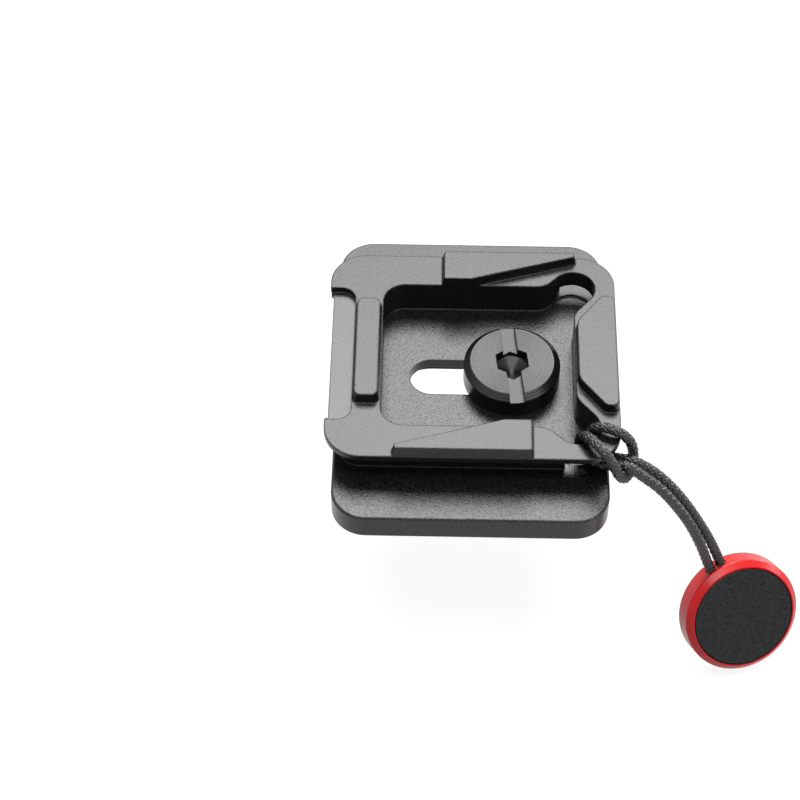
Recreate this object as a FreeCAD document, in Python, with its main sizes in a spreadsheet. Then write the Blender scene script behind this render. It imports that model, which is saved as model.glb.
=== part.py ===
import FreeCAD, Part
import math
import os
import Sketcher

doc = FreeCAD.newDocument("camera_plate")
dims = doc.addObject("Spreadsheet::Sheet", "dims")

# driving sizes in millimetres and degrees
sizes = {
    # heights, counted from the plane where the plate meets the camera
    "skin": 0.8,  # underside of the metal
    "grip_deep": 0.6,  # depth of the rubber pad's recess
    "channel_deep": 1.4,  # depth of the ring channel above that recess
    "web": 1.7,  # metal between ring channel and pocket floor
    "base_tall": 4.1,  # thickness of the base
    "neck_tall": 2.2,  # height of the neck below the flange
    "flange_tall": 2.9,  # thickness of the flange
    "pad_rise": 1.6,  # height of the raised pads
    "draft": 11.0,  # draft angle of the bar and the wedges
    "rest_draft": 6.0,  # draft angle of the tether end pad
    # outlines of flange, neck and base
    "flange_y": 19.05,  # half width of the clamp flange
    "flange_x": 21.22,  # half length of the flange
    "flange_shift": 0.15,  # flange off the base's middle, towards the tether
    "flange_corner": 5.3,  # corner radius of the flange
    "dovetail": 1.9,  # undercut of the flange, at 45 degrees
    "shelf": 0.2,  # flat under the flange, beside the neck
    "base_side": 7.18,  # base beyond the flange on each side
    "base_back": 1.37,  # base short of the flange at each end
    "base_corner": 5.0,  # corner radius of the base
    "edge": 0.25,  # edge break on the base
    "top_edge": 0.08,  # edge break on the flange
    "pocket_edge": 0.1,  # edge break round the pocket
    "pad_edge": 0.08,  # edge break on the raised pads
    # pocket, corner holes and their blends
    "rim_side": 5.8,  # flange beside the pocket
    "rim_lobe": 7.97,  # flange from the pocket to the lobe end
    "rim_tether": 6.22,  # flange from the pocket to the tether end
    "pocket_corner": 3.3,  # inside corner radius of the pocket
    "blend": 3.0,  # radius where the pocket edge turns to a hole
    "hole_over": 0.05,  # hole centre past the pocket's end
    "hole_back": 0.25,  # hole centre inside the pocket's side
    "hole_rad": 3.2,  # corner hole radius
    "hole_in": 44.0,  # angle of the blend on the long side
    "hole_out": 40.0,  # angle of the blend on the short side
    "pass_play": 1.6,  # cord passage wider than the hole
    # shallow recess at the lobe end
    "strip_wide": 3.82,  # width of the end recess
    "strip_lobe": 6.6,  # lobe on each side of the end recess
    "strip_deep": 1.1,  # depth of the end recess
    "strip_set": 0.47,  # outer edge of the recess, back from the lobes
    "strip_step": 1.0,  # shoulder between lobe and set back edge
    "strip_corner": 2.2,  # inside corner radius of the end recess
    # raised pads, at their feet
    "pad_gap": 0.2,  # tether end pad back from the pocket edge
    "bar_gap": 0.17,  # bar pad back from the pocket edge
    "bar_back": 0.03,  # bar pad back from the end recess
    "bar_short": 3.75,  # bar pad short of the pocket's side
    "wedge_mid": 2.2,  # centre of the two wedge pads along the plate
    "wedge_end": 6.65,  # blunt end of a wedge pad from the pads' centre
    "wedge_turn": 2.9,  # start of the wedge slope from the pads' centre
    "wedge_stop": 7.72,  # thin end of a wedge pad, short of half the flange
    "wedge_tip_w": 1.35,  # flange edge to the slope at the thin end
    "rest_short": 2.75,  # tether end pad short of the pocket's side
    "rest_slant": 5.0,  # slant of the tether end pad
    "rest_end": 2.17,  # end of that slant, back from the flange edge
    "bar_corner": 0.9,  # corner radius of the bar pad
    "wedge_corner": 0.3,  # corner radius of the wedge pads
    "wedge_lap": 0.5,  # foot of a wedge pad past the pocket edge, which trims it
    "rest_corner": 1.0,  # corner radius of the tether end pad
    "rest_round": 2.6,  # radius between its pocket side and its slants
    # screw, its slot and its retaining ring
    "slot_lobe": 4.1,  # pocket end to slot end on the lobe side
    "slot_tether": 4.05,  # pocket end to slot end on the tether side
    "slot_play": 0.15,  # slot wider than the shank
    "screw_x": 6.0,  # screw position along the slot
    "shank_d": 6.35,  # screw shank diameter
    "shank_end": 5.2,  # screw reach past the camera plane
    "head_d": 14.2,  # screw head diameter
    "head_tall": 4.0,  # screw head height
    "head_bevel": 0.93,  # bevel of the screw head
    "tip_bevel": 0.6,  # bevel at the tip of the screw
    "seat_gap": 0.05,  # gap below the screw head
    "coin_w": 2.15,  # coin slot width
    "coin_deep": 1.1,  # coin slot depth
    "coin_turn": 6.1,  # turn of the coin slot
    "hex_af": 4.6,  # socket size across flats
    "hex_deep": 1.7,  # socket depth
    "hex_point": 1.3,  # drill point below the socket
    "groove_deep": 0.775,  # depth of the ring groove
    "ring_thick": 0.8,  # retaining ring thickness
    "ring_lift": 0.2,  # retaining ring above the rubber's recess
    "ring_float": 0.2,  # groove wider than the ring
    "ring_d": 9.4,  # retaining ring diameter
    "ring_fit": 0.08,  # gap between ring and groove
    "ring_pinch": 0.6,  # ring opening narrower than the groove
    "ring_play": 1.0,  # channel wider than the ring
    "channel_over": 2.0,  # channel past the slot at each end
    # rubber pad on the camera side
    "grip_margin": 2.4,  # bare metal round the rubber pad
    "grip_corner": 3.5,  # corner radius of the rubber pad
    "grip_play": 0.15,  # gap around the rubber pad
    # tether cord and disc
    "cord_d": 1.6,  # cord diameter
    "disc_d": 18.0,  # disc diameter
    "disc_thick": 4.6,  # disc thickness
    "disc_bevel": 0.85,  # bevel of the disc rim
    "disc_round": 0.3,  # rounding where the bevel meets the rim
    "disc_x": 41.3,  # disc centre
    "disc_y": -21.4,  # disc centre
    "disc_z": -24.3,  # disc centre
    "face_rim": 1.1,  # red rim beside the dark face
    "face_deep": 0.8,  # depth of the dark face
    "face_gap": 0.05,  # gap around the dark face
    "face_edge": 0.2,  # edge break of the dark face
    "leg_fit": 0.05,  # gap around the cord in its hole
    "leg_web": 0.15,  # wall between the two cord holes
    "leg_deep": 5.2,  # depth of the cord holes
    "leg_lead": 0.4,  # straight run of cord outside the disc
}
# sizes that follow from those above
derived = {
    "grip_seat": "=skin + grip_deep",
    "channel_top": "=grip_seat + channel_deep",
    "floor": "=channel_top + web",
    "ledge": "=skin + base_tall",
    "under": "=ledge + neck_tall",
    "top": "=under + flange_tall",
    "flange_left": "=flange_x - flange_shift",
    "flange_right": "=flange_x + flange_shift",
    "base_x": "=flange_x - base_back",
    "base_y": "=flange_y + base_side",
    "pocket_y": "=flange_y - rim_side",
    "pocket_left": "=flange_left - rim_lobe",
    "pocket_right": "=flange_right - rim_tether",
    "hole_x": "=pocket_right + hole_over",
    "hole_y": "=pocket_y - hole_back",
    "pass_w": "=2 * hole_rad + pass_play",
    "strip_x": "=flange_left - strip_wide",
    "strip_y": "=flange_y - strip_lobe",
    "strip_edge": "=flange_left - strip_set",
    "bar_left": "=strip_x - bar_back",
    "bar_right": "=pocket_left + bar_gap",
    "bar_y": "=pocket_y - bar_short",
    "wedge_in": "=pocket_y - wedge_lap",
    "wedge_out": "=flange_y - top_edge",
    "wedge_thin": "=flange_y - wedge_tip_w",
    "wedge_tip": "=flange_x - wedge_stop",
    "rest_left": "=pocket_right + pad_gap",
    "rest_right": "=flange_right - top_edge",
    "rest_y": "=pocket_y - rest_short",
    "rest_flat": "=rest_y - rest_slant",
    "rest_turn": "=flange_right - rest_end",
    "slot_left": "=pocket_left - slot_lobe",
    "slot_right": "=pocket_right - slot_tether",
    "slot_w": "=shank_d + slot_play",
    "channel_left": "=slot_left + channel_over",
    "channel_right": "=slot_right + channel_over",
    "channel_w": "=ring_d + ring_play",
    "groove_d": "=shank_d - 2 * groove_deep",
    "groove_w": "=ring_thick + ring_float",
    "groove_low": "=grip_seat + ring_lift - ring_float / 2",
    "ring_bore": "=groove_d + 2 * ring_fit",
    "ring_gap": "=groove_d - ring_pinch",
    "grip_x": "=base_x - grip_margin",
    "grip_y": "=base_y - grip_margin",
    "face_d": "=disc_d - 2 * face_rim",
    "leg_bore": "=cord_d + 2 * leg_fit",
    "leg_half": "=(leg_bore + leg_web) / 2",
    "leg_in": "=disc_d / 2 - leg_deep",
}
for row, (alias, value) in enumerate({**sizes, **derived}.items(), 1):
    dims.set("A%d" % row, alias.replace("_", " "))
    dims.set("B%d" % row, str(value))
    dims.setAlias("B%d" % row, alias)
    dims.recompute()
doc.recompute()


def val(expression):
    """Value of a sheet expression as a plain number."""
    got = dims.evalExpression(expression)
    return float(getattr(got, "Value", got))


def plane(body, role):
    """One of the body's own origin planes."""
    for item in body.Origin.OriginFeatures:
        if item.Role == role:
            return item


def sketch(body, name, height, role="XY_Plane"):
    """Empty sketch on an origin plane, raised by a sheet expression."""
    sk = body.newObject("Sketcher::SketchObject", name)
    sk.AttachmentSupport = [(plane(body, role), "")]
    sk.MapMode = "FlatFace"
    if height:
        sk.setExpression("AttachmentOffset.Base.z", height)
    doc.recompute()
    return sk


def hold(sk, kind, args, expression):
    """A driving size of the sketch, bound to the sheet."""
    number = sk.addConstraint(Sketcher.Constraint(kind, *args, val(expression)))
    sk.setExpression("Constraints[%d]" % number, expression)


def polygon(sk, corners):
    """Closed outline held at sheet expressions; a corner with a centre starts an arc."""
    spots = [FreeCAD.Vector(val(c[0]), val(c[1]), 0) for c in corners]
    first = sk.GeometryCount
    count = len(spots)
    for i in range(count):
        after = spots[(i + 1) % count]
        if len(corners[i]) == 2:
            sk.addGeometry(Part.LineSegment(spots[i], after), False)
            continue
        hub = FreeCAD.Vector(val(corners[i][2]), val(corners[i][3]), 0)
        ray = spots[i] - hub
        begin = math.atan2(ray.y, ray.x)
        sweep = (math.atan2(after.y - hub.y, after.x - hub.x) - begin) % (2 * math.pi)
        full = Part.Circle(hub, FreeCAD.Vector(0, 0, 1), ray.Length)
        sk.addGeometry(Part.ArcOfCircle(full, begin, begin + sweep), False)
    for i in range(count):
        after = first + (i + 1) % count
        sk.addConstraint(Sketcher.Constraint("Coincident", first + i, 2, after, 1))
    for i in range(count):
        free = ""
        if len(corners[i]) == 4:
            hold(sk, "DistanceX", (-1, 1, first + i, 3), corners[i][2])
            hold(sk, "DistanceY", (-1, 1, first + i, 3), corners[i][3])
        if len(corners[i - 1]) == 4:
            ray = spots[i] - FreeCAD.Vector(val(corners[i - 1][2]), val(corners[i - 1][3]), 0)
            free = "x" if abs(ray.x) > abs(ray.y) else "y"
        if free != "x":
            hold(sk, "DistanceX", (-1, 1, first + i, 1), corners[i][0])
        if abs(spots[i].y) < 1e-9:
            sk.addConstraint(Sketcher.Constraint("PointOnObject", first + i, 1, -1))
        elif free != "y":
            hold(sk, "DistanceY", (-1, 1, first + i, 1), corners[i][1])


def rounded(sk, left, right, half, radius):
    """Rectangle with round corners, symmetric about the X axis."""
    low_x = "%s + %s" % (left, radius)
    high_x = "%s - %s" % (right, radius)
    high_y = "%s - %s" % (half, radius)
    low_y = "-(%s)" % high_y
    polygon(sk, [
        (low_x, "-(%s)" % half),
        (high_x, "-(%s)" % half, high_x, low_y),
        (right, low_y),
        (right, high_y, high_x, high_y),
        (high_x, half),
        (low_x, half, low_x, high_y),
        (left, high_y),
        (left, low_y, low_x, low_y),
    ])


def circle(sk, x, y, radius):
    """Circle held by its centre and radius."""
    spot = FreeCAD.Vector(val(x), val(y), 0)
    turn = Part.Circle(spot, FreeCAD.Vector(0, 0, 1), val(radius))
    number = sk.addGeometry(turn, False)
    hold(sk, "Radius", (number,), radius)
    if spot.Length < 1e-6:
        sk.addConstraint(Sketcher.Constraint("Coincident", number, 3, -1, 1))
    else:
        hold(sk, "DistanceX", (-1, 1, number, 3), x)
        if abs(spot.y) < 1e-6:
            sk.addConstraint(Sketcher.Constraint("PointOnObject", number, 3, -1))
        else:
            hold(sk, "DistanceY", (-1, 1, number, 3), y)


def slot(sk, left, right, wide):
    """Round ended slot along X, centred on the X axis."""
    r = val(wide) / 2
    a = val(left) + r
    b = val(right) - r
    up = FreeCAD.Vector(0, 0, 1)
    one = Part.ArcOfCircle(Part.Circle(FreeCAD.Vector(a, 0, 0), up, r), math.pi / 2, 3 * math.pi / 2)
    two = Part.ArcOfCircle(Part.Circle(FreeCAD.Vector(b, 0, 0), up, r), -math.pi / 2, math.pi / 2)
    sk.addGeometry(one, False)
    sk.addGeometry(two, False)
    sk.addGeometry(Part.LineSegment(FreeCAD.Vector(a, -r, 0), FreeCAD.Vector(b, -r, 0)), False)
    sk.addGeometry(Part.LineSegment(FreeCAD.Vector(b, r, 0), FreeCAD.Vector(a, r, 0)), False)
    sk.addConstraint(Sketcher.Constraint("Tangent", 0, 2, 2, 1))
    sk.addConstraint(Sketcher.Constraint("Tangent", 2, 2, 1, 1))
    sk.addConstraint(Sketcher.Constraint("Tangent", 1, 2, 3, 1))
    sk.addConstraint(Sketcher.Constraint("Tangent", 3, 2, 0, 1))
    sk.addConstraint(Sketcher.Constraint("PointOnObject", 0, 3, -1))
    sk.addConstraint(Sketcher.Constraint("PointOnObject", 1, 3, -1))
    hold(sk, "DistanceX", (-1, 1, 0, 3), "%s + (%s) / 2" % (left, wide))
    hold(sk, "DistanceX", (-1, 1, 1, 3), "%s - (%s) / 2" % (right, wide))
    hold(sk, "Radius", (0,), "(%s) / 2" % wide)


def feature(body, kind, name, sk, length, reverse=False, draft=None):
    """Pad or pocket of one sketch."""
    made = body.newObject("PartDesign::" + kind, name)
    made.Profile = sk
    made.setExpression("Length", length)
    made.Reversed = reverse
    if draft:
        made.setExpression("TaperAngle", draft)
    sk.Visibility = False
    doc.recompute()
    return made


def dress(body, kind, name, edges, amount):
    """Fillet or chamfer on the named edges of the body's latest feature."""
    base = body.Tip
    made = body.newObject("PartDesign::" + kind, name)
    made.Base = (base, edges)
    made.setExpression("Radius" if kind == "Fillet" else "Size", amount)
    doc.recompute()
    return made


def uprights(body, spots, low, high, near=0.6):
    """Names of standing edges whose middle lies near one of the spots."""
    found = []
    for i, edge in enumerate(body.Tip.Shape.Edges):
        box = edge.BoundBox
        if box.ZLength < 0.5 or box.XLength + box.YLength > box.ZLength:
            continue
        if not low - 0.01 <= box.ZMin <= box.ZMax <= high + 0.01:
            continue
        for x, y in spots:
            if math.hypot(box.Center.x - x, box.Center.y - y) < near:
                found.append("Edge%d" % (i + 1))
                break
    return found


def level(body, height, keep):
    """Names of edges that lie at one height and pass the given test of their box."""
    found = []
    for i, edge in enumerate(body.Tip.Shape.Edges):
        box = edge.BoundBox
        if box.ZLength < 1e-4 and abs(box.ZMin - height) < 1e-3 and keep(box, edge):
            found.append("Edge%d" % (i + 1))
    return found


def rim(body, height):
    """Names of the edges round the widest level face at one height."""
    shape = body.Tip.Shape
    flat = [f for f in shape.Faces if f.BoundBox.ZLength < 1e-4 and abs(f.BoundBox.ZMin - height) < 1e-3]
    widest = max(flat, key=lambda f: f.BoundBox.DiagonalLength)
    loop = max(widest.Wires, key=lambda w: w.BoundBox.DiagonalLength)
    return ["Edge%d" % (i + 1) for i, edge in enumerate(shape.Edges)
            if any(edge.isSame(part) for part in loop.Edges)]


def new_body(name):
    """One physical piece, as a body with its own label."""
    body = doc.addObject("PartDesign::Body", name)
    body.Label = name
    doc.recompute()
    return body


# plate body, one piece of aluminium: flange first, then neck, base, pads and cuts
plate = new_body("plate_body")
sk = sketch(plate, "flange_outline", "dims.under")
polygon(sk, [
    ("-dims.flange_left", "-dims.flange_y"),
    ("dims.flange_right", "-dims.flange_y"),
    ("dims.flange_right", "dims.flange_y"),
    ("-dims.flange_left", "dims.flange_y"),
])
feature(plate, "Pad", "flange", sk, "dims.top - dims.under")
corners = [(x, y) for x in (-val("dims.flange_left"), val("dims.flange_right"))
           for y in (-val("dims.flange_y"), val("dims.flange_y"))]
dress(plate, "Fillet", "flange_corners", uprights(plate, corners, 0, val("dims.top")), "dims.flange_corner")
dress(plate, "Chamfer", "flange_edges", rim(plate, val("dims.top")), "dims.top_edge")
dress(plate, "Chamfer", "dovetail_slope", level(plate, val("dims.under"), lambda b, e: True), "dims.dovetail")

sk = sketch(plate, "neck_outline", "dims.under")
rounded(sk, "-dims.flange_left + dims.dovetail + dims.shelf",
        "dims.flange_right - dims.dovetail - dims.shelf",
        "dims.flange_y - dims.dovetail - dims.shelf",
        "(dims.flange_corner - dims.dovetail - dims.shelf)")
feature(plate, "Pad", "neck", sk, "dims.under - dims.ledge", True)
low = val("dims.ledge")

sk = sketch(plate, "base_outline", "dims.ledge")
polygon(sk, [
    ("-dims.base_x", "-dims.base_y"),
    ("dims.base_x", "-dims.base_y"),
    ("dims.base_x", "dims.base_y"),
    ("-dims.base_x", "dims.base_y"),
])
feature(plate, "Pad", "base", sk, "dims.ledge - dims.skin", True)
corners = [(x, y) for x in (-val("dims.base_x"), val("dims.base_x"))
           for y in (-val("dims.base_y"), val("dims.base_y"))]
dress(plate, "Fillet", "base_corners", uprights(plate, corners, 0, low), "dims.base_corner")
dress(plate, "Chamfer", "base_edges", rim(plate, low), "dims.edge")

# shallow recess at the lobe end, and the cut that sets its outer edge back
sk = sketch(plate, "strip_outline", "dims.top")
polygon(sk, [
    ("-dims.flange_left - dims.strip_wide", "-dims.strip_y"),
    ("-dims.strip_x", "-dims.strip_y"),
    ("-dims.strip_x", "dims.strip_y"),
    ("-dims.flange_left - dims.strip_wide", "dims.strip_y"),
])
feature(plate, "Pocket", "strip_recess", sk, "dims.strip_deep")
spots = [(-val("dims.strip_x"), val("dims.strip_y")), (-val("dims.strip_x"), -val("dims.strip_y"))]
dress(plate, "Fillet", "strip_corners", uprights(plate, spots, low, val("dims.top")), "dims.strip_corner")
sk = sketch(plate, "strip_edge_outline", "dims.top")
polygon(sk, [
    ("-dims.flange_left - dims.strip_wide", "-dims.strip_y + dims.strip_step"),
    ("-dims.strip_edge", "-dims.strip_y + dims.strip_step"),
    ("-dims.strip_edge", "dims.strip_y - dims.strip_step"),
    ("-dims.flange_left - dims.strip_wide", "dims.strip_y - dims.strip_step"),
])
feature(plate, "Pocket", "strip_set_back", sk, "dims.flange_tall + dims.neck_tall / 4")

# raised pads: a bar, two opposed wedges and a six sided rest, all with drafted sides
sk = sketch(plate, "bar_outline", "dims.top")
polygon(sk, [
    ("-dims.bar_left", "-dims.bar_y"),
    ("-dims.bar_right", "-dims.bar_y"),
    ("-dims.bar_right", "dims.bar_y"),
    ("-dims.bar_left", "dims.bar_y"),
])
feature(plate, "Pad", "bar_pad", sk, "dims.pad_rise", False, "-dims.draft")
for name, way in (("far", ""), ("near", "-")):
    sk = sketch(plate, name + "_wedge_outline", "dims.top")
    turn = "dims.wedge_mid " + ("- " if way == "" else "+ ")
    back = "dims.wedge_mid " + ("+ " if way == "" else "- ")
    polygon(sk, [
        (turn + "dims.wedge_end", way + "dims.wedge_out"),
        (turn + "dims.wedge_end", way + "dims.wedge_in"),
        (turn + "dims.wedge_turn", way + "dims.wedge_in"),
        (back + "dims.wedge_tip", way + "dims.wedge_thin"),
        (back + "dims.wedge_tip", way + "dims.wedge_out"),
    ])
    feature(plate, "Pad", name + "_wedge_pad", sk, "dims.pad_rise", False, "-dims.draft")
sk = sketch(plate, "rest_outline", "dims.top")
polygon(sk, [
    ("dims.rest_left", "-dims.rest_flat"),
    ("dims.rest_turn", "-dims.rest_y"),
    ("dims.rest_right", "-dims.rest_y"),
    ("dims.rest_right", "dims.rest_y"),
    ("dims.rest_turn", "dims.rest_y"),
    ("dims.rest_left", "dims.rest_flat"),
])
feature(plate, "Pad", "rest_pad", sk, "dims.pad_rise", False, "-dims.rest_draft")
roof = val("dims.top + dims.pad_rise")
shelf = val("dims.top")
stands = [(e.BoundBox.Center.x, e.BoundBox.Center.y) for e in plate.Tip.Shape.Edges
          if e.BoundBox.ZMin > shelf - 0.01 and e.BoundBox.ZLength > val("dims.pad_rise") / 2]
groups = {"bar": [], "wedge": [], "rest": [], "round": []}
for x, y in stands:
    if x < -val("dims.bar_right - dims.pad_gap"):
        groups["bar"].append((x, y))
    elif abs(y) > val("dims.hole_y - dims.wedge_lap"):
        groups["wedge"].append((x, y))
    elif x < val("dims.rest_turn - dims.pad_gap") - val("dims.pad_rise"):
        groups["round"].append((x, y))
    else:
        groups["rest"].append((x, y))
for name, amount in (("bar", "bar_corner"), ("wedge", "wedge_corner"), ("rest", "rest_corner"),
                     ("round", "rest_round")):
    found = uprights(plate, groups[name], shelf, roof, 0.05)
    dress(plate, "Fillet", name + "_rounds", found, "dims." + amount)
dress(plate, "Chamfer", "pad_edges", level(plate, roof, lambda b, e: True), "dims.pad_edge")

# pocket with the two corner holes that open into it
lead_x = "dims.hole_x - dims.hole_rad * cos(dims.hole_in)"
lead_y = "dims.hole_y + dims.hole_rad * sin(dims.hole_in)"
turn_x = "%s - (%s - dims.pocket_y) * tan(dims.hole_in)" % (lead_x, lead_y)
out_x = "dims.hole_x + dims.hole_rad * cos(dims.hole_out)"
out_y = "dims.hole_y - dims.hole_rad * sin(dims.hole_out)"
side_y = "%s - (%s - dims.pocket_right) / tan(dims.hole_out)" % (out_y, out_x)
sk = sketch(plate, "pocket_outline", "dims.top + dims.pad_rise")
polygon(sk, [
    ("-dims.pocket_left", "-dims.pocket_y"),
    (turn_x, "-dims.pocket_y"),
    (lead_x, "-(%s)" % lead_y, "dims.hole_x", "-dims.hole_y"),
    (out_x, "-(%s)" % out_y),
    ("dims.pocket_right", "-(%s)" % side_y),
    ("dims.pocket_right", side_y),
    (out_x, out_y, "dims.hole_x", "dims.hole_y"),
    (lead_x, lead_y),
    (turn_x, "dims.pocket_y"),
    ("-dims.pocket_left", "dims.pocket_y"),
])
feature(plate, "Pocket", "pocket", sk, "dims.top + dims.pad_rise - dims.floor")
floor = val("dims.floor")
sharp = [(-val("dims.pocket_left"), y) for y in (-val("dims.pocket_y"), val("dims.pocket_y"))]
dress(plate, "Fillet", "pocket_corners", uprights(plate, sharp, floor, roof, 0.2), "dims.pocket_corner")
turns = [(val(turn_x), y) for y in (-val("dims.pocket_y"), val("dims.pocket_y"))]
turns += [(val("dims.pocket_right"), y) for y in (-val(side_y), val(side_y))]
dress(plate, "Fillet", "pocket_blends", uprights(plate, turns, floor, roof, 0.2), "dims.blend")
mouth = level(plate, shelf, lambda b, e: any(
    abs(f.BoundBox.ZMin - floor) < 1e-3 for f in plate.Tip.Shape.ancestorsOfType(e, Part.Face)))
dress(plate, "Chamfer", "pocket_edges", mouth, "dims.pocket_edge")

# passages under the flange, from each corner hole out over the base ledge
sk = sketch(plate, "passage_outline", "dims.under")
half = "dims.pass_w / 2 * cos(45)"
reach = "(dims.rim_tether + dims.rim_side) * cos(45)"
for way in ("", "-"):
    polygon(sk, [
        ("dims.hole_x - %s" % half, "%s(dims.hole_y + %s)" % (way, half)),
        ("dims.hole_x + %s" % half, "%s(dims.hole_y - %s)" % (way, half)),
        ("dims.hole_x + %s + %s" % (half, reach), "%s(dims.hole_y - %s + %s)" % (way, half, reach)),
        ("dims.hole_x - %s + %s" % (half, reach), "%s(dims.hole_y + %s + %s)" % (way, half, reach)),
    ])
feature(plate, "Pocket", "cord_passages", sk, "dims.under - dims.ledge")

# screw slot, and on the camera side the recess for the rubber and the ring channel
sk = sketch(plate, "slot_outline", "dims.floor")
slot(sk, "-dims.slot_left", "dims.slot_right", "dims.slot_w")
feature(plate, "Pocket", "screw_slot", sk, "dims.floor")
sk = sketch(plate, "grip_seat_outline", "dims.skin")
polygon(sk, [
    ("-dims.grip_x - dims.grip_play", "-dims.grip_y - dims.grip_play"),
    ("dims.grip_x + dims.grip_play", "-dims.grip_y - dims.grip_play"),
    ("dims.grip_x + dims.grip_play", "dims.grip_y + dims.grip_play"),
    ("-dims.grip_x - dims.grip_play", "dims.grip_y + dims.grip_play"),
])
feature(plate, "Pocket", "grip_seat", sk, "dims.grip_seat - dims.skin", True)
spots = [(x, y) for x in (-val("dims.grip_x"), val("dims.grip_x"))
         for y in (-val("dims.grip_y"), val("dims.grip_y"))]
standing = uprights(plate, spots, 0, val("dims.grip_seat"))
dress(plate, "Fillet", "grip_seat_corners", standing, "dims.grip_corner + dims.grip_play")
sk = sketch(plate, "channel_outline", "dims.grip_seat")
slot(sk, "-dims.channel_left", "dims.channel_right", "dims.channel_w")
feature(plate, "Pocket", "ring_channel", sk, "dims.channel_top - dims.grip_seat", True)

# rubber pad on the camera side, with an opening for the screw and its ring
grip = new_body("grip_pad")
sk = sketch(grip, "grip_outline", "")
polygon(sk, [
    ("-dims.grip_x", "-dims.grip_y"),
    ("dims.grip_x", "-dims.grip_y"),
    ("dims.grip_x", "dims.grip_y"),
    ("-dims.grip_x", "dims.grip_y"),
])
feature(grip, "Pad", "grip", sk, "dims.grip_seat")
dress(grip, "Fillet", "grip_corners", uprights(grip, spots, 0, val("dims.grip_seat")), "dims.grip_corner")
sk = sketch(grip, "grip_opening_outline", "dims.grip_seat")
slot(sk, "-dims.channel_left", "dims.channel_right", "dims.channel_w")
feature(grip, "Pocket", "grip_opening", sk, "dims.grip_seat")

# camera screw with a bevelled head, a coin slot and a hexagon socket
screw = new_body("camera_screw")
sk = sketch(screw, "head_outline", "dims.floor + dims.seat_gap")
circle(sk, "0", "0", "dims.head_d / 2")
feature(screw, "Pad", "head", sk, "dims.head_tall")
crown = val("dims.floor + dims.seat_gap + dims.head_tall")
dress(screw, "Chamfer", "head_edge", level(screw, crown, lambda b, e: True), "dims.head_bevel")
sk = sketch(screw, "shank_outline", "dims.floor + dims.seat_gap")
circle(sk, "0", "0", "dims.shank_d / 2")
feature(screw, "Pad", "shank", sk, "dims.floor + dims.seat_gap + dims.shank_end", True)
tip_rim = level(screw, -val("dims.shank_end"), lambda b, e: True)
dress(screw, "Chamfer", "shank_tip", tip_rim, "dims.tip_bevel")
sk = sketch(screw, "groove_outline", "dims.groove_low")
circle(sk, "0", "0", "dims.shank_d")
circle(sk, "0", "0", "dims.groove_d / 2")
feature(screw, "Pocket", "ring_groove", sk, "dims.groove_w", True)
sk = sketch(screw, "coin_outline", "dims.floor + dims.seat_gap + dims.head_tall")
across_x = "dims.coin_w / 2 * cos(dims.coin_turn)"
across_y = "dims.coin_w / 2 * sin(dims.coin_turn)"
along_x = "dims.head_d * sin(dims.coin_turn)"
along_y = "dims.head_d * cos(dims.coin_turn)"
polygon(sk, [
    ("-%s - %s" % (across_x, along_x), "-%s + %s" % (across_y, along_y)),
    ("-%s + %s" % (across_x, along_x), "-%s - %s" % (across_y, along_y)),
    ("%s + %s" % (across_x, along_x), "%s - %s" % (across_y, along_y)),
    ("%s - %s" % (across_x, along_x), "%s + %s" % (across_y, along_y)),
])
feature(screw, "Pocket", "coin_slot", sk, "dims.coin_deep")
sk = sketch(screw, "socket_outline", "dims.floor + dims.seat_gap + dims.head_tall")
corner = "dims.hex_af / sqrt(3) * %s(dims.coin_turn + %d)"
polygon(sk, [(corner % ("cos", 30 + 60 * i), corner % ("sin", 30 + 60 * i)) for i in range(6)])
feature(screw, "Pocket", "socket", sk, "dims.hex_deep")
drilled = screw.newObject("PartDesign::SubtractiveCone", "socket_point")
drilled.setExpression("Radius2", "dims.hex_af / 2")
drilled.Radius1 = 0
drilled.setExpression("Height", "dims.hex_point")
drilled.setExpression("Placement.Base.z",
                      "dims.floor + dims.seat_gap + dims.head_tall - dims.hex_deep - dims.hex_point")
doc.recompute()
screw.setExpression("Placement.Base.x", "dims.screw_x")

# open retaining ring that keeps the screw in the plate
ring = new_body("retaining_ring")
sk = sketch(ring, "ring_outline", "dims.groove_low + (dims.groove_w - dims.ring_thick) / 2")
circle(sk, "0", "0", "dims.ring_d / 2")
circle(sk, "0", "0", "dims.ring_bore / 2")
feature(ring, "Pad", "ring", sk, "dims.ring_thick")
sk = sketch(ring, "ring_mouth_outline", "dims.channel_top")
polygon(sk, [
    ("-dims.ring_d", "-dims.ring_gap / 2"),
    ("-dims.ring_bore / 4", "-dims.ring_gap / 2"),
    ("-dims.ring_bore / 4", "dims.ring_gap / 2"),
    ("-dims.ring_d", "dims.ring_gap / 2"),
])
feature(ring, "Pocket", "ring_mouth", sk, "dims.channel_top")
ring.setExpression("Placement.Base.x", "dims.screw_x")

# tether disc: its own axes are the way to the cord, the way across and its face
face_way = FreeCAD.Vector(0.284, -0.81, 0.514)
cord_way = FreeCAD.Vector(-0.45, 0.361, 0.817)
across = face_way.cross(cord_way)
turn = FreeCAD.Rotation(cord_way, across, face_way, "ZXY")
middle = FreeCAD.Vector(val("dims.disc_x"), val("dims.disc_y"), val("dims.disc_z"))
spot = FreeCAD.Placement(middle, turn)
disc = new_body("disc_body")
sk = sketch(disc, "disc_outline", "-dims.disc_thick / 2")
circle(sk, "0", "0", "dims.disc_d / 2")
feature(disc, "Pad", "disc", sk, "dims.disc_thick")
half = val("dims.disc_thick / 2")
rims = level(disc, half, lambda b, e: True) + level(disc, -half, lambda b, e: True)
dress(disc, "Chamfer", "disc_edges", rims, "dims.disc_bevel")
waist = half - val("dims.disc_bevel")
rims = level(disc, waist, lambda b, e: True) + level(disc, -waist, lambda b, e: True)
dress(disc, "Fillet", "disc_rounds", rims, "dims.disc_round")
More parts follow.
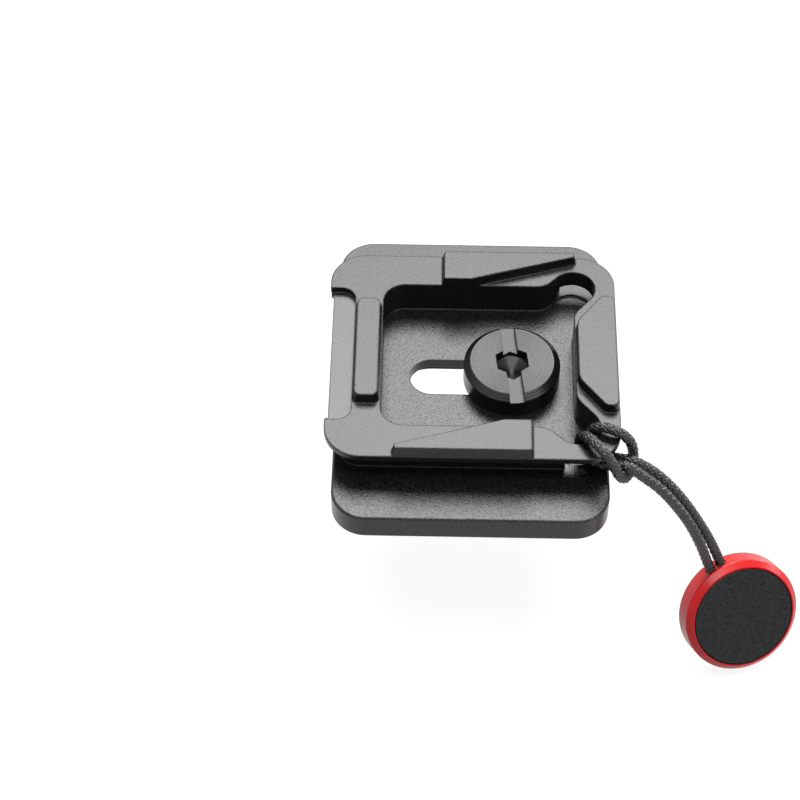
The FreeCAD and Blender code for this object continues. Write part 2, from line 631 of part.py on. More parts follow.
sk = sketch(disc, "face_seat_outline", "dims.disc_thick / 2")
circle(sk, "0", "0", "dims.face_d / 2 + dims.face_gap")
feature(disc, "Pocket", "face_seat", sk, "dims.face_deep")
sk = sketch(disc, "leg_outline", "dims.leg_in", "YZ_Plane")
circle(sk, "dims.leg_half", "0", "dims.leg_bore / 2")
circle(sk, "-dims.leg_half", "0", "dims.leg_bore / 2")
feature(disc, "Pocket", "leg_holes", sk, "dims.disc_d", True)
disc.Placement = spot
inlay = new_body("disc_face")
sk = sketch(inlay, "inlay_outline", "dims.disc_thick / 2 - dims.face_deep")
circle(sk, "0", "0", "dims.face_d / 2")
feature(inlay, "Pad", "inlay", sk, "dims.face_deep")
dress(inlay, "Chamfer", "inlay_edge", level(inlay, half, lambda b, e: True), "dims.face_edge")
inlay.Placement = spot

# tether cord: from the disc to a loop hitched round the flange corner and back
legs = val("dims.leg_half")
start = val("dims.leg_in + dims.leg_fit")
leave = val("dims.disc_d / 2 + dims.leg_lead")
route = [
    spot.multVec(FreeCAD.Vector(start, legs, 0)),
    spot.multVec(FreeCAD.Vector(leave, legs, 0)),
    FreeCAD.Vector(34.75, -18.95, -11.4),
    FreeCAD.Vector(32.35, -19.15, -5.1),
    FreeCAD.Vector(29.75, -19.1, -0.4),
    FreeCAD.Vector(27.1, -19.05, 3.6),
    FreeCAD.Vector(24.3, -19.0, 6.4),
    FreeCAD.Vector(22.1, -18.5, 8.25),
    FreeCAD.Vector(19.02, -17.1, 6.0),
    FreeCAD.Vector(15.45, -14.8, 6.0),
    FreeCAD.Vector(15.45, -14.8, 11.5),
    FreeCAD.Vector(19.2, -19.75, 12.0),
    FreeCAD.Vector(21.8, -20.0, 5.4),
    FreeCAD.Vector(23.8, -14.1, 3.9),
    FreeCAD.Vector(22.3, -15.5, 11.4),
    FreeCAD.Vector(17.0, -13.6, 11.4),
    FreeCAD.Vector(17.0, -13.6, 6.0),
    FreeCAD.Vector(20.5, -15.62, 6.0),
    FreeCAD.Vector(22.65, -16.8, 7.3),
    FreeCAD.Vector(25.0, -16.9, 5.9),
    FreeCAD.Vector(27.65, -17.2, 3.55),
    FreeCAD.Vector(30.83, -17.3, -1.07),
    FreeCAD.Vector(33.7, -17.2, -6.7),
    FreeCAD.Vector(36.15, -17.4, -11.8),
    spot.multVec(FreeCAD.Vector(leave, -legs, 0)),
    spot.multVec(FreeCAD.Vector(start, -legs, 0)),
]
pieces = []
last = route[0]
radii = []
for i in range(1, len(route) - 1):
    come = (route[i] - route[i - 1])
    go = (route[i + 1] - route[i])
    bend = come.getAngle(go)
    cut = 0.45 * min(come.Length, go.Length)
    radii.append(cut / math.tan(bend / 2))
    come.normalize()
    go.normalize()
    enter = route[i] - come * cut
    depart = route[i] + go * cut
    pull = go - come
    pull.normalize()
    reach = radii[-1] / math.cos(bend / 2) - radii[-1]
    pieces.append(Part.LineSegment(last, enter).toShape())
    pieces.append(Part.Arc(enter, route[i] + pull * reach, depart).toShape())
    last = depart
pieces.append(Part.LineSegment(last, route[-1]).toShape())
path = Part.Wire(pieces)
aim = route[1] - route[0]
ring_edge = Part.makeCircle(val("dims.cord_d / 2"), route[0], aim)
tube = path.makePipeShell([Part.Wire([ring_edge])], True, False)
cord = doc.addObject("Part::Feature", "tether_cord")
cord.Label = "tether_cord"
cord.Shape = tube
cord.Placement = FreeCAD.Placement()
print("cord radii", " ".join("%.1f" % r for r in radii))
print("cord length %.1f, volume over section %.1f"
      % (path.Length, tube.Volume / (math.pi * val("dims.cord_d") ** 2 / 4)))
doc.recompute()

os.makedirs("parts", exist_ok=True)
for item in doc.Objects:
    if "Invalid" in item.State or "Error" in item.State:
        raise RuntimeError("feature failed: " + item.Label)
for item in (plate, grip, screw, ring, cord, disc, inlay):
    shape = item.Shape
    if shape.isNull() or not shape.isValid() or len(shape.Solids) != 1:
        raise RuntimeError("bad solid: " + item.Label)
    print(item.Label, "volume %.2f" % shape.Volume, "box", shape.BoundBox)
    shape.exportStep("parts/%s.step" % item.Label)
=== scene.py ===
import math

import bpy
import numpy as np
from mathutils import Matrix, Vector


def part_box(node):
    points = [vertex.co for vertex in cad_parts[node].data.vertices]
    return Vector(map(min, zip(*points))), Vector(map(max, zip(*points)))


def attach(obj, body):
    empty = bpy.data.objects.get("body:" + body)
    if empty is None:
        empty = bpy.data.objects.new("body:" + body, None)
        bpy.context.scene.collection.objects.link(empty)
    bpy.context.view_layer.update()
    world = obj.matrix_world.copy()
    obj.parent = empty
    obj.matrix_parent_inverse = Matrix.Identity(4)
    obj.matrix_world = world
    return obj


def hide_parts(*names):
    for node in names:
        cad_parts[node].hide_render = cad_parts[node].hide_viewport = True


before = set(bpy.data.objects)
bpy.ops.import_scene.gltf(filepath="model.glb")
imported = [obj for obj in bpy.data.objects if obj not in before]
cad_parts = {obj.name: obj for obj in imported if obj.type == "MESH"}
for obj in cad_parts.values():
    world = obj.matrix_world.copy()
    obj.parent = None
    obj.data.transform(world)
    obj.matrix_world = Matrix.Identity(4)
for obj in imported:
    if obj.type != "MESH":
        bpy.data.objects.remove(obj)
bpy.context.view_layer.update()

# Plate. One block of aluminium, milled to base, neck, flange, pocket and raised pads, then bead
# blasted, which softens its edges, and anodised black. The pocket floor and the near ledge keep a
# coarser grain than the rest, and the strip in the end recess is a little paler.
MM = 0.001
PLATE_BLACK = (0.0372, 0.0372, 0.0375)
PLATE_METALLIC = 0.9
PLATE_ROUGHNESS_LOW = 0.26
PLATE_ROUGHNESS_HIGH = 0.36
PLATE_SPECKLE = 0.50
PLATE_EDGE = 0.30 * MM
PLATE_GRAIN_SIZE = 0.24 * MM
PLATE_GRAIN_HEIGHT = 0.014 * MM
PLATE_FLOOR_TOP = 5.2 * MM
PLATE_FLOOR_BACK = 16.0 * MM
PLATE_FLOOR_FACING = 0.5
PLATE_FLOOR_GRAIN = 2.0
PLATE_FLOOR_SPECKLE = 0.95
PLATE_STRIP_LOW = 8.75 * MM
PLATE_STRIP_HIGH = 8.98 * MM
PLATE_STRIP_GAIN = 1.22
GRAIN_DETAIL = 1.0
GRAIN_ROUGHNESS = 0.6
GRAIN_LOW = 0.3
GRAIN_HIGH = 0.7
GRAIN_MIDDLE = 0.5
EDGE_SAMPLES = 4


def new_material(name):
    """A node material with a Principled shader on its output, its tree and that shader."""
    material = bpy.data.materials.new(name)
    material.use_nodes = True
    return material, material.node_tree, material.node_tree.nodes["Principled BSDF"]


def feed(tree, value, socket):
    """A plain number set on a socket, or a link into it from another socket."""
    if isinstance(value, (int, float)):
        socket.default_value = value
    else:
        tree.links.new(value, socket)


def maths(tree, operation, *values):
    """A math node on sockets or plain numbers; puts out its value."""
    node = tree.nodes.new("ShaderNodeMath")
    node.operation = operation
    for value, socket in zip(values, node.inputs):
        feed(tree, value, socket)
    return node.outputs[0]


def axes(tree, vector):
    """The X, Y and Z of a vector."""
    node = tree.nodes.new("ShaderNodeSeparateXYZ")
    feed(tree, vector, node.inputs["Vector"])
    return node.outputs


def spread(tree, mask, low, high, start=0.0, end=1.0):
    """A map of a mask from start..end to low..high, held at its ends."""
    node = tree.nodes.new("ShaderNodeMapRange")
    node.inputs["From Min"].default_value = start
    node.inputs["From Max"].default_value = end
    node.inputs["To Min"].default_value = low
    node.inputs["To Max"].default_value = high
    feed(tree, mask, node.inputs["Value"])
    return node.outputs["Result"]


def new_group(name, inputs, outputs):
    """An empty node group with named inputs and outputs, and its two end nodes."""
    group = bpy.data.node_groups.new(name, "ShaderNodeTree")
    for in_out, sockets in (("INPUT", inputs), ("OUTPUT", outputs)):
        for label, kind in sockets.items():
            group.interface.new_socket(label, in_out=in_out, socket_type=kind)
    return group, group.nodes.new("NodeGroupInput"), group.nodes.new("NodeGroupOutput")


def make_blast_grain():
    """Group: two octaves of noise of a given grain size, as a height and as a mask about one half."""
    group, enter, leave = new_group(
        "blast_grain",
        {"Position": "NodeSocketVector", "Grain": "NodeSocketFloat", "Depth": "NodeSocketFloat"},
        {"Height": "NodeSocketFloat", "Mask": "NodeSocketFloat"})
    noise = group.nodes.new("ShaderNodeTexNoise")
    noise.inputs["Detail"].default_value = GRAIN_DETAIL
    noise.inputs["Roughness"].default_value = GRAIN_ROUGHNESS
    feed(group, enter.outputs["Position"], noise.inputs["Vector"])
    feed(group, maths(group, "DIVIDE", 1.0, enter.outputs["Grain"]), noise.inputs["Scale"])
    mask = noise.outputs["Fac"]
    feed(group, spread(group, mask, 0.0, 1.0, GRAIN_LOW, GRAIN_HIGH), leave.inputs["Mask"])
    feed(group, maths(group, "MULTIPLY", mask, enter.outputs["Depth"]), leave.inputs["Height"])
    return group


def make_soft_edge():
    """Group: a normal that runs round the piece's edges over a given radius."""
    group, enter, leave = new_group(
        "soft_edge", {"Radius": "NodeSocketFloat"}, {"Normal": "NodeSocketVector"})
    edge = group.nodes.new("ShaderNodeBevel")
    edge.samples = EDGE_SAMPLES
    feed(group, enter.outputs["Radius"], edge.inputs["Radius"])
    feed(group, edge.outputs["Normal"], leave.inputs["Normal"])
    return group


blast_grain = make_blast_grain()
soft_edge = make_soft_edge()


def use_group(tree, group, **values):
    """One use of a group, with plain numbers or sockets for its inputs; puts out its outputs."""
    node = tree.nodes.new("ShaderNodeGroup")
    node.node_tree = group
    for label, value in values.items():
        feed(tree, value, node.inputs[label])
    return node.outputs


def bump(tree, shader, height, base=None):
    """A bump from a height in metres into the shader's normal, on top of a base normal if given."""
    node = tree.nodes.new("ShaderNodeBump")
    node.inputs["Distance"].default_value = 1.0
    node.inputs["Strength"].default_value = 1.0
    feed(tree, height, node.inputs["Height"])
    if base is not None:
        feed(tree, base, node.inputs["Normal"])
    feed(tree, node.outputs["Normal"], shader.inputs["Normal"])


def dress(node_name, material):
    """The material as the only one of a CAD node."""
    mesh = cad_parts[node_name].data
    mesh.materials.clear()
    mesh.materials.append(material)


anodised, tree, shader = new_material("anodised")
coordinates = tree.nodes.new("ShaderNodeTexCoord")
position = coordinates.outputs["Object"]
spot = axes(tree, position)
facing = axes(tree, coordinates.outputs["Normal"])
is_floor = maths(tree, "MULTIPLY", maths(tree, "LESS_THAN", spot["Z"], PLATE_FLOOR_TOP),
                 maths(tree, "GREATER_THAN", facing["Z"], PLATE_FLOOR_FACING))
is_floor = maths(tree, "MULTIPLY", is_floor, maths(tree, "LESS_THAN", spot["Y"], PLATE_FLOOR_BACK))
is_strip = maths(tree, "MULTIPLY", maths(tree, "GREATER_THAN", spot["Z"], PLATE_STRIP_LOW),
                 maths(tree, "LESS_THAN", spot["Z"], PLATE_STRIP_HIGH))
depth = spread(tree, is_floor, PLATE_GRAIN_HEIGHT, PLATE_GRAIN_HEIGHT * PLATE_FLOOR_GRAIN)
grain = use_group(tree, blast_grain, Position=position, Grain=PLATE_GRAIN_SIZE, Depth=depth)
edge = use_group(tree, soft_edge, Radius=PLATE_EDGE)
bump(tree, shader, grain["Height"], edge["Normal"])
feed(tree, spread(tree, grain["Mask"], PLATE_ROUGHNESS_LOW, PLATE_ROUGHNESS_HIGH),
     shader.inputs["Roughness"])
speckle = maths(tree, "MULTIPLY", maths(tree, "SUBTRACT", grain["Mask"], GRAIN_MIDDLE),
                spread(tree, is_floor, PLATE_SPECKLE, PLATE_FLOOR_SPECKLE))
tone = tree.nodes.new("ShaderNodeVectorMath")
tone.operation = "SCALE"
tone.inputs[0].default_value = PLATE_BLACK
feed(tree, maths(tree, "MULTIPLY", maths(tree, "ADD", speckle, 1.0),
                 spread(tree, is_strip, 1.0, PLATE_STRIP_GAIN)), tone.inputs["Scale"])
feed(tree, tone.outputs["Vector"], shader.inputs["Base Color"])
shader.inputs["Metallic"].default_value = PLATE_METALLIC
dress("plate_body", anodised)

# Rubber pad. A moulded sheet glued into the recess on the camera side, so that the plate can't
# creep round on the camera. Matt black with a fine pebbled skin.
RUBBER_BLACK = (0.022, 0.022, 0.023, 1.0)
RUBBER_ROUGHNESS = 0.75
RUBBER_PEBBLE = 0.5 * MM
RUBBER_PEBBLE_HEIGHT = 0.05 * MM


def place_on(tree):
    """Where a point of the surface lies on its piece."""
    return tree.nodes.new("ShaderNodeTexCoord").outputs["Object"]


rubber, tree, shader = new_material("grip_rubber")
grain = use_group(tree, blast_grain, Position=place_on(tree), Grain=RUBBER_PEBBLE,
                  Depth=RUBBER_PEBBLE_HEIGHT)
bump(tree, shader, grain["Height"])
shader.inputs["Base Color"].default_value = RUBBER_BLACK
shader.inputs["Roughness"].default_value = RUBBER_ROUGHNESS
dress("grip_pad", rubber)

# Camera screw. Turned from steel and blackened, with a coin slot and a hexagon socket milled into
# its head. The cutting tool leaves fine rings about the screw's axis. Below the top face the steel is
# painted a little darker, as painted shade in the slot and socket, which also darkens side and thread.
SCREW_X = 6.0 * MM
SCREW_BLACK = (0.040, 0.040, 0.0405, 1.0)
SCREW_SHADE_BLACK = (0.0285, 0.0285, 0.029, 1.0)
SCREW_METALLIC = 0.9
SCREW_ROUGHNESS = 0.30
SCREW_SLOT_FLOOR = 7.6 * MM
SCREW_RING_PITCH = 0.30 * MM
SCREW_RING_HEIGHT = 0.010 * MM
SCREW_GRAIN_SIZE = 0.24 * MM
SCREW_GRAIN_HEIGHT = 0.010 * MM
SCREW_EDGE = 0.14 * MM


def shade(tree, mask, dark, light):
    """A colour between two colours by a mask."""
    node = tree.nodes.new("ShaderNodeMix")
    node.data_type = "RGBA"
    node.inputs[6].default_value = dark
    node.inputs[7].default_value = light
    feed(tree, mask, node.inputs[0])
    return node.outputs[2]


screw_steel, tree, shader = new_material("screw_steel")
position = place_on(tree)
centred = tree.nodes.new("ShaderNodeMapping")
centred.inputs["Location"].default_value = (-SCREW_X, 0.0, 0.0)
feed(tree, position, centred.inputs["Vector"])
spot = axes(tree, centred.outputs["Vector"])
radius = maths(tree, "SQRT", maths(tree, "ADD", maths(tree, "POWER", spot["X"], 2.0),
                                   maths(tree, "POWER", spot["Y"], 2.0)))
wave = maths(tree, "SINE", maths(tree, "MULTIPLY", radius, 2 * math.pi / SCREW_RING_PITCH))
is_top = maths(tree, "GREATER_THAN", spot["Z"], SCREW_SLOT_FLOOR)
rings = maths(tree, "MULTIPLY", maths(tree, "MULTIPLY", wave, is_top), SCREW_RING_HEIGHT)
grain = use_group(tree, blast_grain, Position=position, Grain=SCREW_GRAIN_SIZE, Depth=SCREW_GRAIN_HEIGHT)
edge = use_group(tree, soft_edge, Radius=SCREW_EDGE)
bump(tree, shader, maths(tree, "ADD", rings, grain["Height"]), edge["Normal"])
# Painted shade: everything below the slot floor's level takes the darker colour.
feed(tree, shade(tree, is_top, SCREW_SHADE_BLACK, SCREW_BLACK), shader.inputs["Base Color"])
shader.inputs["Metallic"].default_value = SCREW_METALLIC
shader.inputs["Roughness"].default_value = SCREW_ROUGHNESS

# The screw's lower end, from its ring groove down, carries a quarter inch thread with a bevelled tip.
# Slope, crest and run-in are shares of the thread's pitch and depth.
THREAD_TOP = 1.5 * MM
THREAD_END = -5.2 * MM
THREAD_RADIUS = 3.175 * MM
THREAD_PITCH = 1.27 * MM
THREAD_DEPTH = 0.69 * MM
THREAD_BEVEL = 0.6 * MM
THREAD_SLOPE = 2.6
THREAD_CREST = 0.2
THREAD_RUN_IN = 0.3
THREAD_LAP = 0.1 * MM
THREAD_ROWS = 170
THREAD_AROUND = 96


def faces_above(mesh, level):
    """Points, triangles and corner normals of those faces of a mesh that lie wholly above a level."""
    points = np.zeros(len(mesh.vertices) * 3)
    corners = np.zeros(len(mesh.loops), int)
    normals = np.zeros(len(mesh.loops) * 3)
    mesh.vertices.foreach_get("co", points)
    mesh.loops.foreach_get("vertex_index", corners)
    mesh.corner_normals.foreach_get("vector", normals)
    points = points.reshape(-1, 3)
    corners = corners.reshape(-1, 3)
    keep = points[corners][:, :, 2].min(axis=1) > level
    used, renumbered = np.unique(corners[keep].ravel(), return_inverse=True)
    return points[used], renumbered.reshape(-1, 3), normals.reshape(-1, 9)[keep].reshape(-1, 3)


def thread_reach(rise, angle):
    """Radius of a right hand thread at a height and angle.

    The height over the pitch less the share of a turn gives the place in the ridge. The groove is a
    V with a flat crest and root, fades in below the top and is cut back by the bevel at the tip.
    """
    place = np.mod(rise / THREAD_PITCH - angle / (2 * math.pi), 1)
    groove = np.clip(THREAD_SLOPE * np.abs(place - 0.5) - THREAD_CREST, 0, 1)
    fade = np.clip((THREAD_TOP - rise) / THREAD_PITCH - THREAD_RUN_IN, 0, 1)
    bevel = THREAD_RADIUS - THREAD_BEVEL + rise - THREAD_END
    return np.minimum(THREAD_RADIUS - THREAD_DEPTH * groove * fade, bevel)


def round_angles(count):
    """Equal steps of angle once round, as one row."""
    return np.linspace(0.0, 2 * math.pi, count, endpoint=False)[None, :]


def tube_faces(rows, columns):
    """Quads of a tube of rows by columns points, and its first and last cap, facing outwards."""
    at = np.arange(rows * columns).reshape(rows, columns)
    beside = np.roll(at, -1, axis=1)
    quads = np.stack([at[:-1], beside[:-1], beside[1:], at[1:]], axis=-1).reshape(-1, 4)
    return quads, at[0][::-1], at[-1]


def new_piece(name, points, faces):
    """A smooth shaded mesh object at the origin, from points and faces."""
    mesh = bpy.data.meshes.new(name)
    mesh.from_pydata(points, [], faces)
    mesh.polygons.foreach_set("use_smooth", np.ones(len(mesh.polygons), bool))
    piece = bpy.data.objects.new(name, mesh)
    bpy.context.scene.collection.objects.link(piece)
    return piece


cad_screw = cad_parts["camera_screw"].data
head_points, head_faces, head_normals = faces_above(cad_screw, THREAD_TOP - THREAD_LAP)
rise = np.linspace(THREAD_END, THREAD_TOP, THREAD_ROWS)[:, None]
angle = round_angles(THREAD_AROUND)
reach = thread_reach(rise, angle)
thread_points = np.stack([SCREW_X + reach * np.cos(angle), reach * np.sin(angle),
                          np.broadcast_to(rise, reach.shape)], axis=-1).reshape(-1, 3)
quads, tip_cap, _ = tube_faces(THREAD_ROWS, THREAD_AROUND)
first = len(head_points)
screw_faces = head_faces.tolist() + (quads + first).tolist() + [(tip_cap + first).tolist()]
threaded_screw = new_piece("threaded_screw", np.vstack([head_points, thread_points]), screw_faces)
screw_mesh = threaded_screw.data
worked_out = np.zeros((len(screw_mesh.loops) - len(head_normals), 3))
screw_mesh.normals_split_custom_set(np.vstack([head_normals, worked_out]).tolist())
screw_mesh.materials.append(screw_steel)
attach(threaded_screw, "screw")
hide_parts("camera_screw")

# Retaining ring. An open ring stamped from spring steel, pushed into the screw's groove, where it
# keeps the screw in the plate.
RING_GREY = (0.25, 0.25, 0.26, 1.0)
RING_METALLIC = 1.0
RING_ROUGHNESS = 0.35

ring_steel, tree, shader = new_material("ring_steel")
shader.inputs["Base Color"].default_value = RING_GREY
shader.inputs["Metallic"].default_value = RING_METALLIC
shader.inputs["Roughness"].default_value = RING_ROUGHNESS
dress("retaining_ring", ring_steel)

# Tether disc. A red disc moulded round the two cord ends, with a black inlay pressed into its
# front. The red has a satin gloss, and the inlay is semi matt with a fine mottle.
DISC_RED = (0.58, 0.006, 0.008, 1.0)
DISC_SPECULAR = 0.36
DISC_ROUGHNESS = 0.30
DISC_GRAIN_SIZE = 0.6 * MM
DISC_GRAIN_HEIGHT = 0.004 * MM
INLAY_BLACK = (0.0005, 0.0005, 0.0006, 1.0)
INLAY_GREY = (0.020, 0.0225, 0.025, 1.0)
INLAY_SPECULAR = 0.25
INLAY_ROUGHNESS_LOW = 0.38
INLAY_ROUGHNESS_HIGH = 0.52
INLAY_GRAIN_SIZE = 0.50 * MM
INLAY_GRAIN_HEIGHT = 0.016 * MM

disc_red, tree, shader = new_material("disc_red")
grain = use_group(tree, blast_grain, Position=place_on(tree), Grain=DISC_GRAIN_SIZE,
                  Depth=DISC_GRAIN_HEIGHT)
bump(tree, shader, grain["Height"])
shader.inputs["Base Color"].default_value = DISC_RED
shader.inputs["Specular IOR Level"].default_value = DISC_SPECULAR
shader.inputs["Roughness"].default_value = DISC_ROUGHNESS
dress("disc_body", disc_red)

disc_black, tree, shader = new_material("disc_black")
grain = use_group(tree, blast_grain, Position=place_on(tree), Grain=INLAY_GRAIN_SIZE,
                  Depth=INLAY_GRAIN_HEIGHT)
bump(tree, shader, grain["Height"])
feed(tree, spread(tree, grain["Mask"], INLAY_ROUGHNESS_LOW, INLAY_ROUGHNESS_HIGH),
     shader.inputs["Roughness"])
feed(tree, shade(tree, grain["Mask"], INLAY_BLACK, INLAY_GREY), shader.inputs["Base Color"])
shader.inputs["Specular IOR Level"].default_value = INLAY_SPECULAR
dress("disc_face", disc_black)

# Tether cord. One length of black braided cord, both ends moulded into the disc, hitched through
# the corner hole and round the flange corner. Eight strands turn each way round a plain core.
# The disc's middle, and the ways that its face looks and its cord leaves, place the cord's ends.
DISC_MIDDLE = np.array([41.3, -21.4, -24.3]) * MM
DISC_FACE_WAY = np.array([0.284, -0.81, 0.514])
DISC_CORD_WAY = np.array([-0.45, 0.361, 0.817])
CORD_DIAMETER = 1.6 * MM
CORD_LEG_HALF = 0.925 * MM
CORD_INSIDE = 3.85 * MM
CORD_RIM = 9.4 * MM
CORD_ROUTE = np.array([
    (34.75, -18.95, -11.4), (32.35, -19.15, -5.1), (29.75, -19.1, -0.4), (27.1, -19.05, 3.6),
    (24.3, -19.0, 6.4), (22.1, -18.5, 8.25), (19.02, -17.1, 6.0), (15.45, -14.8, 6.0),
    (15.45, -14.8, 11.5), (19.2, -19.75, 12.0), (21.8, -20.0, 5.4), (23.8, -14.1, 3.9),
    (22.3, -15.5, 11.4), (17.0, -13.6, 11.4), (17.0, -13.6, 6.0), (20.5, -15.62, 6.0),
    (22.65, -16.8, 7.3), (25.0, -16.9, 5.9), (27.65, -17.2, 3.55), (30.83, -17.3, -1.07),
    (33.7, -17.2, -6.7), (36.15, -17.4, -11.8),
]) * MM
CORD_SPLINE_STEPS = 60
CORD_STATIONS = 1500
CORD_AROUND = 64
CORD_ASIDE = np.array([0.31, 0.52, 0.79])
BRAID_STRANDS = 8
BRAID_OVER = 2
BRAID_LAY = 5.6 * MM
BRAID_RELIEF = 0.18 * MM
BRAID_ROUND = 0.6
BRAID_FLAT = 0.35
BRAID_GAP_SHADE = (0.0015, 0.0015, 0.0015, 1.0)
BRAID_LIGHT = (0.022, 0.022, 0.022, 1.0)
BRAID_ROUGHNESS = 0.20


def disc_spot(out, side):
    """A point of the disc's middle plane: out towards the cord, side across."""
    across = np.cross(DISC_FACE_WAY, DISC_CORD_WAY)
    return DISC_MIDDLE + out * DISC_CORD_WAY + side * across


def spline_line(points, steps):
    """Points of one order 3 spline that starts and ends on its first and last control point."""
    curve = bpy.data.curves.new("tether_line", "CURVE")
    curve.dimensions = "3D"
    spline = curve.splines.new("NURBS")
    spline.points.add(len(points) - 1)
    spline.points.foreach_set("co", np.hstack([points, np.ones((len(points), 1))]).ravel())
    spline.order_u = 3
    spline.use_endpoint_u = True
    spline.resolution_u = steps
    carrier = bpy.data.objects.new("tether_line", curve)
    bpy.context.scene.collection.objects.link(carrier)
    bpy.context.view_layer.update()
    mesh = bpy.data.meshes.new_from_object(carrier)
    line = np.zeros(len(mesh.vertices) * 3)
    mesh.vertices.foreach_get("co", line)
    bpy.data.objects.remove(carrier)
    bpy.data.curves.remove(curve)
    bpy.data.meshes.remove(mesh)
    return line.reshape(-1, 3)


def even_steps(line, count):
    """The line at equal steps of its own length, and that length."""
    step = np.linalg.norm(np.diff(line, axis=0), axis=1)
    at = np.concatenate([[0.0], np.cumsum(step)])
    want = np.linspace(0.0, at[-1], count)
    return np.stack([np.interp(want, at, line[:, i]) for i in range(3)], axis=1), at[-1]


def unit(vectors):
    """A vector, or each of a list of vectors, at length one."""
    return vectors / np.linalg.norm(vectors, axis=-1, keepdims=True)


def steady_frames(line):
    """Normal and binormal at each point of a line, with no twist about it.

    A first normal is square to the line and to a fixed direction. Each is then turned by the running
    sum of the angles that the step from one normal to the next makes beyond the tangent's least turn.
    """
    tangent = unit(np.gradient(line, axis=0))
    normal = unit(np.cross(tangent, CORD_ASIDE))
    binormal = np.cross(tangent, normal)
    axis = np.cross(tangent[:-1], tangent[1:])
    cosine = np.sum(tangent[:-1] * tangent[1:], axis=1, keepdims=True)
    before = normal[:-1]
    lean = np.sum(axis * before, axis=1, keepdims=True) / (1 + cosine)
    carried = before * cosine + np.cross(axis, before) + axis * lean
    slip = np.arctan2(np.sum(carried * binormal[1:], axis=1), np.sum(carried * normal[1:], axis=1))
    turn = np.concatenate([[0.0], np.cumsum(slip)])[:, None]
    steady_normal = normal * np.cos(turn) + binormal * np.sin(turn)
    steady_binormal = binormal * np.cos(turn) - normal * np.sin(turn)
    return steady_normal, steady_binormal


def braid_height(along, angle):
    """Height of the braid, from 0 to 1, at a length along the cord and an angle round it.

    Two families of strands turn opposite ways, each two over and two under. A strand on top is a
    pillow two crossings long: round across the strand and flatter along it.
    """
    one = BRAID_STRANDS * (angle / (2 * math.pi) + along / BRAID_LAY)
    two = BRAID_STRANDS * (angle / (2 * math.pi) - along / BRAID_LAY)
    repeat = 2 * BRAID_OVER
    lead = np.mod(two - np.floor(one), repeat)
    over = lead < BRAID_OVER
    across = np.where(over, np.mod(one, 1), np.mod(two, 1))
    length = np.where(over, lead, np.mod(one - np.floor(two), repeat) - 1) / BRAID_OVER
    crown_across = np.sin(math.pi * across) ** BRAID_ROUND
    crown_along = np.sin(math.pi * np.clip(length, 0, 1)) ** BRAID_FLAT
    return crown_across * crown_along


cord_exit = disc_spot(CORD_RIM, CORD_LEG_HALF)
cord_points = np.vstack([
    disc_spot(CORD_INSIDE, CORD_LEG_HALF), cord_exit, CORD_ROUTE,
    disc_spot(CORD_RIM, -CORD_LEG_HALF), disc_spot(CORD_INSIDE, -CORD_LEG_HALF),
])
cord_line, cord_length = even_steps(spline_line(cord_points, CORD_SPLINE_STEPS), CORD_STATIONS)
normal, binormal = steady_frames(cord_line)
along = np.linspace(0.0, cord_length, CORD_STATIONS)[:, None]
angle = round_angles(CORD_AROUND)
height = braid_height(along, angle)
reach = CORD_DIAMETER / 2 - BRAID_RELIEF * (1 - height)
ring = np.cos(angle)[..., None] * normal[:, None, :] + np.sin(angle)[..., None] * binormal[:, None, :]
cord_skin = (cord_line[:, None, :] + reach[..., None] * ring).reshape(-1, 3)
quads, first_cap, last_cap = tube_faces(CORD_STATIONS, CORD_AROUND)
cord = new_piece("tether_braid", cord_skin, quads.tolist() + [first_cap.tolist(), last_cap.tolist()])
crown = cord.data.attributes.new("crown", "FLOAT", "POINT")
crown.data.foreach_set("value", height.astype(np.float32).ravel())

cord_braid, tree, shader = new_material("cord_braid")
crowned = tree.nodes.new("ShaderNodeAttribute")
crowned.attribute_name = "crown"
# Painted shade: the braid's colour is darker where the strands dip, in the gaps between them.
feed(tree, shade(tree, crowned.outputs["Fac"], BRAID_GAP_SHADE, BRAID_LIGHT), shader.inputs["Base Color"])
shader.inputs["Roughness"].default_value = BRAID_ROUGHNESS
cord.data.materials.append(cord_braid)
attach(cord, "plate")
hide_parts("tether_cord")

# Floor. A wide pale sheet under the disc. It is drawn near white to the camera and in reflections,
# and keeps a soft shadow.
WHITE = (1.0, 1.0, 1.0, 1.0)
FLOOR_DROP = 0.4 * MM
FLOOR_HALF = 3.0
FLOOR_CORNERS = np.array([(-1, -1), (1, -1), (1, 1), (-1, 1)]) * FLOOR_HALF
FLOOR_PALE = (0.22, 0.22, 0.22, 1.0)
FLOOR_LIFT = 0.86


def looked_at(tree):
    """One where a ray comes from the camera, a reflection or through glass, and nought elsewhere."""
    path = tree.nodes.new("ShaderNodeLightPath").outputs
    seen = maths(tree, "MAXIMUM", path["Is Camera Ray"], path["Is Glossy Ray"])
    return maths(tree, "MAXIMUM", seen, path["Is Transmission Ray"])


floor_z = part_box("disc_body")[0].z - FLOOR_DROP
floor_points = np.hstack([FLOOR_CORNERS, np.full((len(FLOOR_CORNERS), 1), floor_z)])
floor = new_piece("floor", floor_points, [(0, 1, 2, 3)])
floor_paint, tree, shader = new_material("floor_paint")
shader.inputs["Base Color"].default_value = FLOOR_PALE
shader.inputs["Roughness"].default_value = 1.0
shader.inputs["Specular IOR Level"].default_value = 0.0
shader.inputs["Emission Color"].default_value = WHITE
feed(tree, maths(tree, "MULTIPLY", looked_at(tree), FLOOR_LIFT), shader.inputs["Emission Strength"])
floor.data.materials.append(floor_paint)

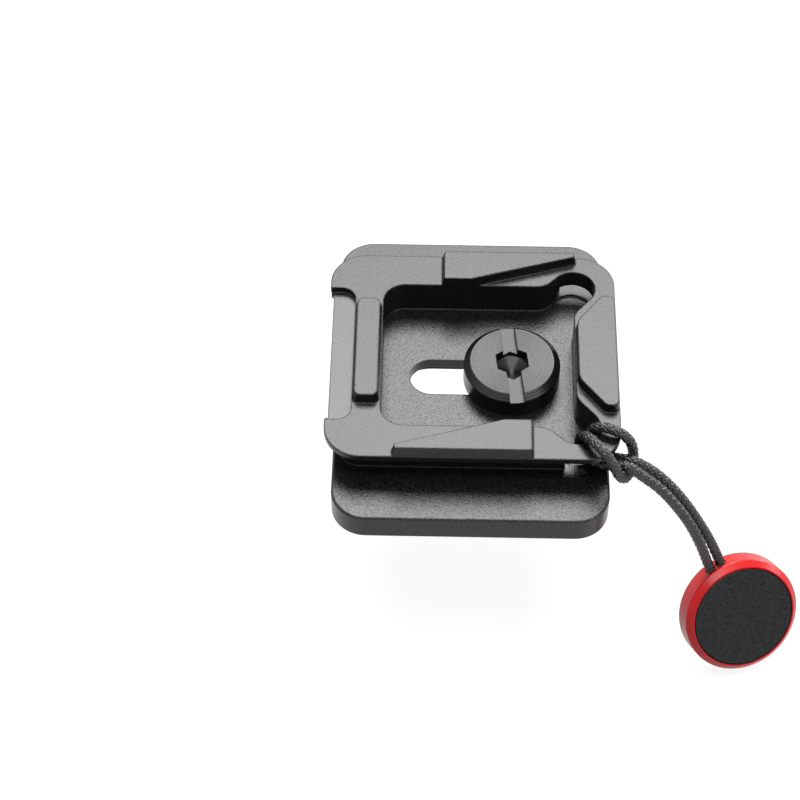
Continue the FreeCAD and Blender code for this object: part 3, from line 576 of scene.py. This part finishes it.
# Light. A wide soft lamp behind and above, where the plate's level faces mirror it to the camera, a
# low one behind on the right for the cord's glints, a strip overhead for the socket and the edges, a
# weak one from the front right, and a white surround that lights the rest only a little.
LAMP_AIM = np.array([0.0, 0.0, 8.0]) * MM
LAMP_DISTANCE = 0.60
KEY_WAY = np.array([0.03, 0.56, 0.83])
KEY_SIZE = (0.34, 0.30)
KEY_POWER = 4.0
RIM_WAY = np.array([0.75, 0.62, 0.20])
RIM_SIZE = (0.50, 0.20)
RIM_POWER = 2.4
TOP_WAY = np.array([0.0, -0.20, 0.98])
TOP_SIZE = (0.50, 0.16)
TOP_POWER = 1.8
FILL_PLACE = np.array([0.45, -0.35, 0.45])
FILL_SIZE = (0.3, 0.3)
FILL_POWER = 0.8
SURROUND = 0.2
UPRIGHT = np.array([0.0, 0.0, 1.0])


def set_up(name, data, place, side, up, back):
    """A lamp or camera at a place, with its own three axes along side, up and back."""
    thing = bpy.data.objects.new(name, data)
    columns = np.column_stack([side, up, back, place])
    thing.matrix_world = Matrix(columns.tolist() + [[0.0, 0.0, 0.0, 1.0]])
    bpy.context.scene.collection.objects.link(thing)
    return thing


def lamp(name, place, size, power):
    """A rectangular lamp that looks at the plate."""
    data = bpy.data.lights.new(name, "AREA")
    data.shape = "RECTANGLE"
    data.size, data.size_y = size
    data.energy = power
    back = unit(place - LAMP_AIM)
    side = unit(np.cross(UPRIGHT, back))
    set_up(name, data, place, side, np.cross(back, side), back)


lamp("key", LAMP_AIM + LAMP_DISTANCE * unit(KEY_WAY), KEY_SIZE, KEY_POWER)
lamp("rim", LAMP_AIM + LAMP_DISTANCE * unit(RIM_WAY), RIM_SIZE, RIM_POWER)
lamp("top", LAMP_AIM + LAMP_DISTANCE * unit(TOP_WAY), TOP_SIZE, TOP_POWER)
lamp("fill", FILL_PLACE, FILL_SIZE, FILL_POWER)

world = bpy.data.worlds.new("surround")
world.use_nodes = True
tree = world.node_tree
background = tree.nodes["Background"]
background.inputs["Color"].default_value = WHITE
feed(tree, spread(tree, looked_at(tree), SURROUND, 1.0), background.inputs["Strength"])
bpy.context.scene.world = world

# Camera. It stands in front of the plate and looks down on it, as fitted to the edges of base,
# flange and pocket.
CAMERA_PLACE = np.array([-5.97, -214.22, 269.38]) * MM
CAMERA_RIGHT = np.array([0.99977, 0.02120, 0.0001])
CAMERA_FORWARD = np.array([-0.0130, 0.6207, -0.7839])
CAMERA_LENS = 103.5
CAMERA_SENSOR = 36.0
CAMERA_NEAREST = 0.01

eye = bpy.data.cameras.new("camera")
eye.lens = CAMERA_LENS
eye.sensor_fit = "HORIZONTAL"
eye.sensor_width = CAMERA_SENSOR
eye.clip_start = CAMERA_NEAREST
forward = unit(CAMERA_FORWARD)
upward = unit(np.cross(CAMERA_RIGHT, forward))
camera = set_up("camera", eye, CAMERA_PLACE, np.cross(forward, upward), upward, -forward)
bpy.context.scene.camera = camera
bpy.context.scene.view_settings.view_transform = "Standard"
